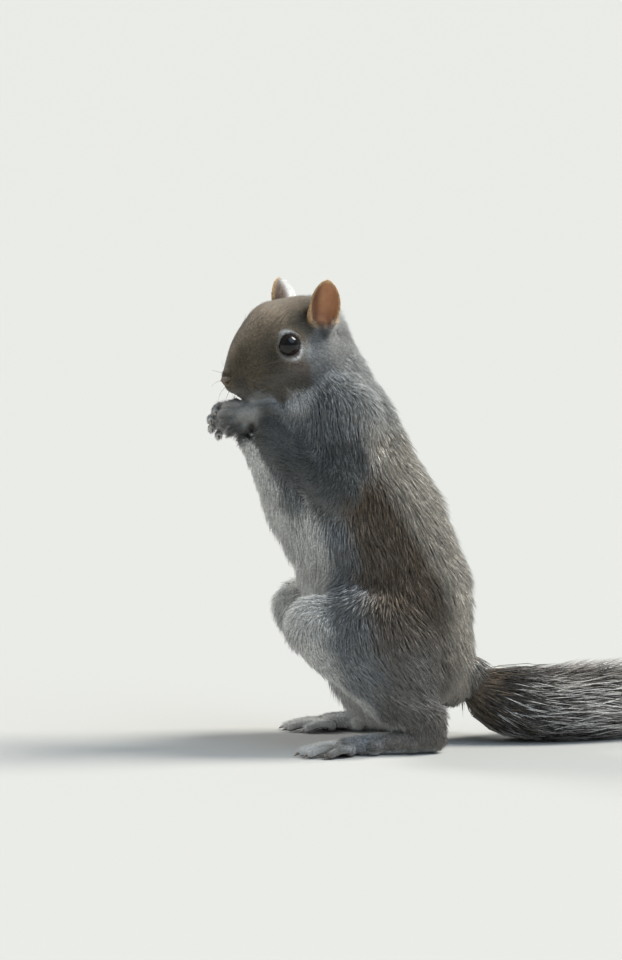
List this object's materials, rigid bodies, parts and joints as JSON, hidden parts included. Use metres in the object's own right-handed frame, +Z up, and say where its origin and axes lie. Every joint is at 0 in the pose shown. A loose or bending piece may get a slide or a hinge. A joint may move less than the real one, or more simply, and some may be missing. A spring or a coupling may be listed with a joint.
{
  "type": "grey squirrel model",
  "caption": "Life-size grey squirrel sitting upright on its haunches with its forepaws at its mouth, its bushy tail lying on the floor behind; a still, museum-like model.",
  "frame": {"origin": "centre of the base of the bounding box, on the floor that the squirrel sits on", "axes": "+Z up; -Y is the way the trunk faces, so +Y runs back to the tail; +X is the animal's left side"},
  "size_m": [0.1636, 0.2492, 0.1914],
  "materials": {
    "coat": "matt grizzled fur",
    "ears": "thin, finely haired skin",
    "nose": "moist, finely grained skin",
    "eyes": "wet gloss",
    "claws": "smooth horn"
  },
  "bodies": {
    "root": {"head": "coat", "lower_jaw": "coat", "nose": "nose", "neck": "coat", "chest": "coat", "belly": "coat", "rump": "coat", "tail_root": "coat", "tail_middle": "coat", "tail_end": "coat", "tail_tip": "coat", "left_ear": "ears", "left_eye": "eyes", "left_upper_arm": "coat", "left_forearm": "coat", "left_forepaw": "coat", "left_thigh": "coat", "left_shank": "coat", "left_hind_foot": "coat", "left_forepaw_claw_1": "claws", "left_forepaw_claw_2": "claws", "left_forepaw_claw_3": "claws", "left_forepaw_claw_4": "claws", "left_hind_foot_claw_1": "claws", "left_hind_foot_claw_2": "claws", "left_hind_foot_claw_3": "claws", "left_hind_foot_claw_4": "claws", "left_hind_foot_claw_5": "claws", "right_ear": "ears", "right_eye": "eyes", "right_upper_arm": "coat", "right_forearm": "coat", "right_forepaw": "coat", "right_thigh": "coat", "right_shank": "coat", "right_hind_foot": "coat", "right_forepaw_claw_1": "claws", "right_forepaw_claw_2": "claws", "right_forepaw_claw_3": "claws", "right_forepaw_claw_4": "claws", "right_hind_foot_claw_1": "claws", "right_hind_foot_claw_2": "claws", "right_hind_foot_claw_3": "claws", "right_hind_foot_claw_4": "claws", "right_hind_foot_claw_5": "claws"}
  },
  "joints": []
}
